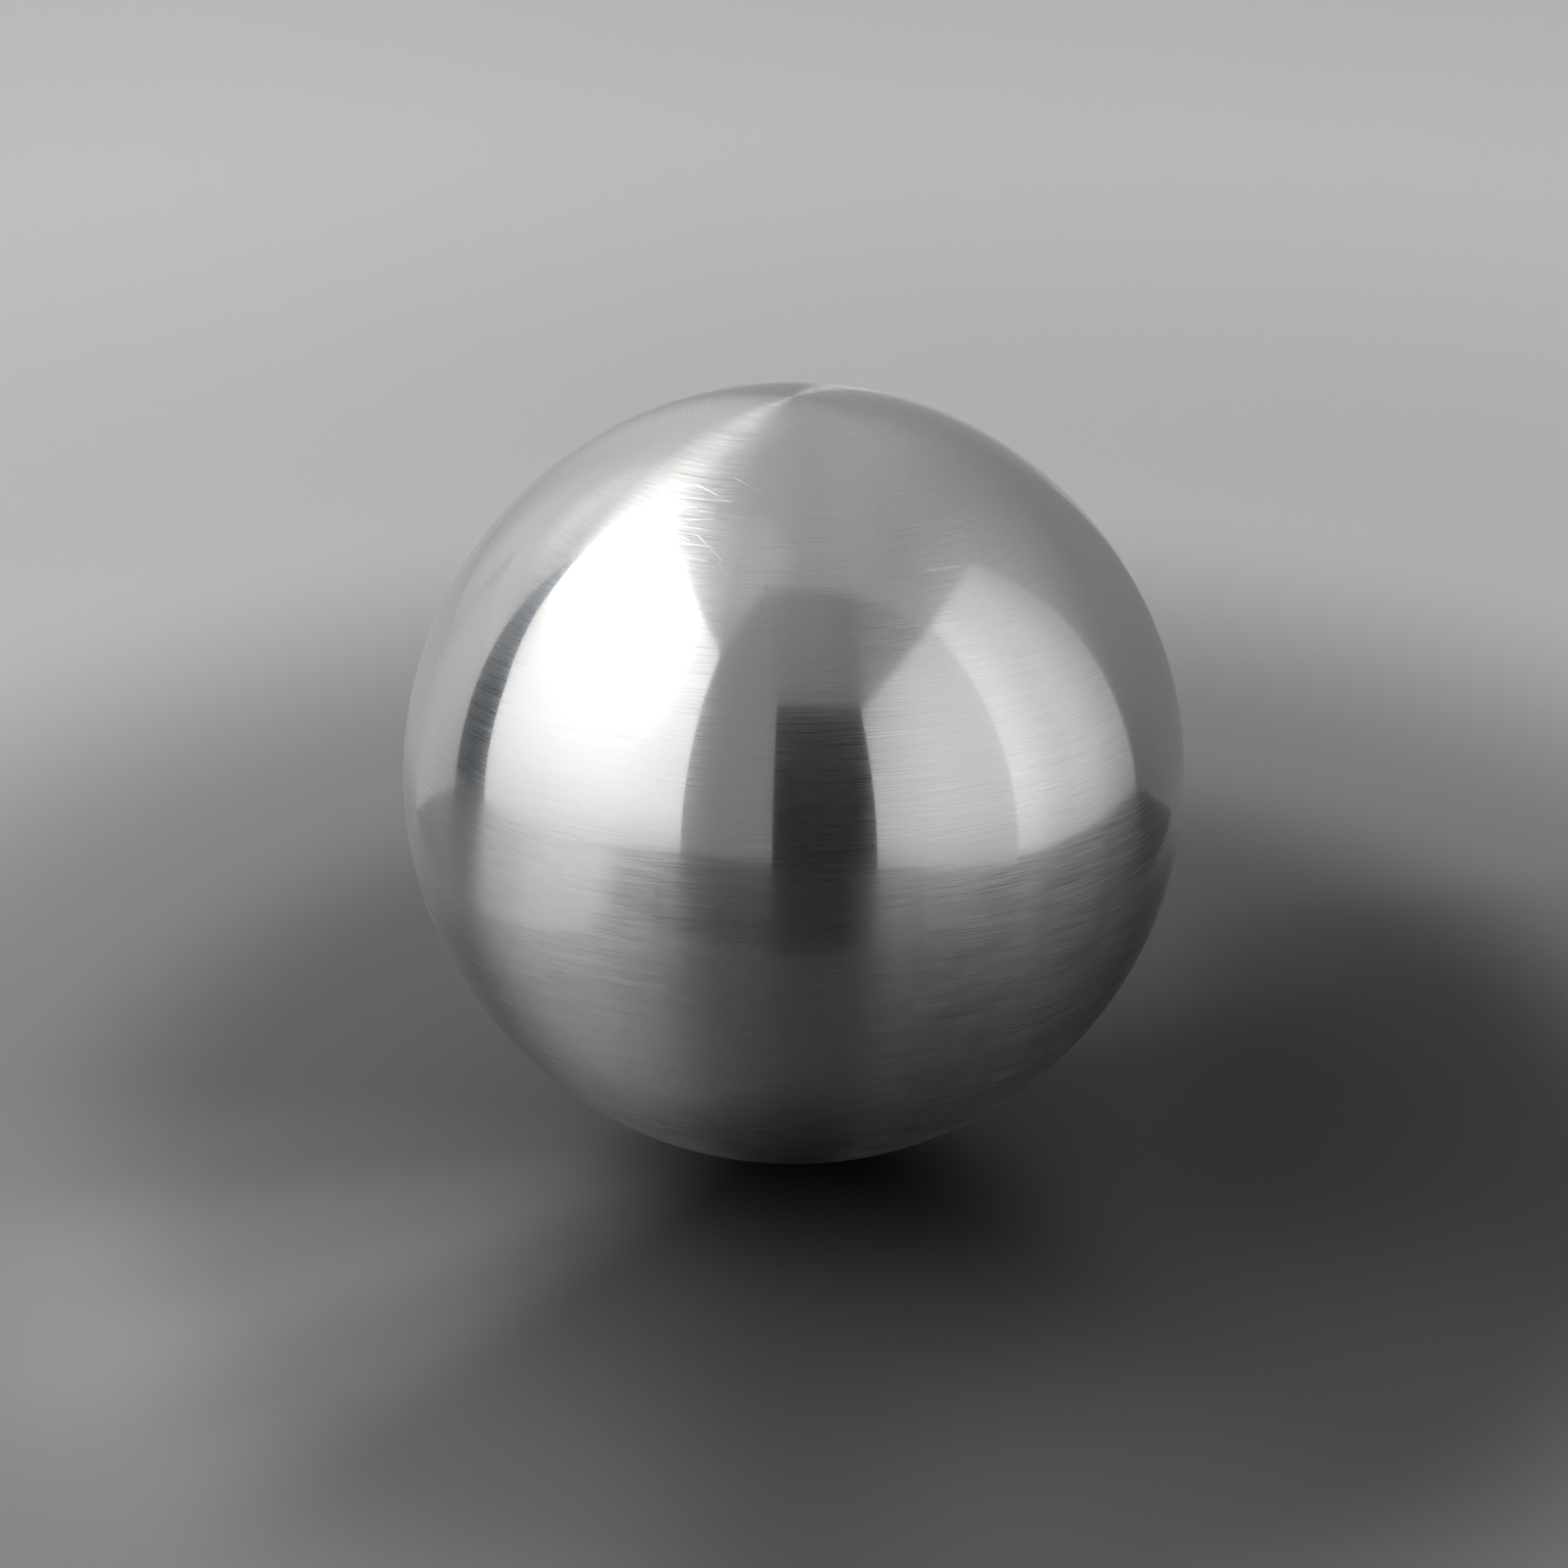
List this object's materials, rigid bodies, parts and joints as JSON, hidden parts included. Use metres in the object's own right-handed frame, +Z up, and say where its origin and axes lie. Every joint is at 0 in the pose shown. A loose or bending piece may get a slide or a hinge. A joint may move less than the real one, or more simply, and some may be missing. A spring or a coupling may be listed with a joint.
{
  "type": "steel ball",
  "caption": "Solid steel ball with a satin-brushed polish in fine circles of latitude, for use as a paperweight, display piece or demonstration mass.",
  "frame": {"origin": "centre of the ball", "axes": "+Z up, along the axis that the ball was spun about when it was polished; +X to the right and +Y away in the picture's view"},
  "size_m": [0.09, 0.09, 0.09],
  "materials": {
    "satin_steel": "satin-polished stainless steel: fine brush lines in circles of latitude about +Z, a soft mirror under them and a few light scratches"
  },
  "bodies": {
    "root": {"steel_ball": "satin_steel"}
  },
  "joints": []
}
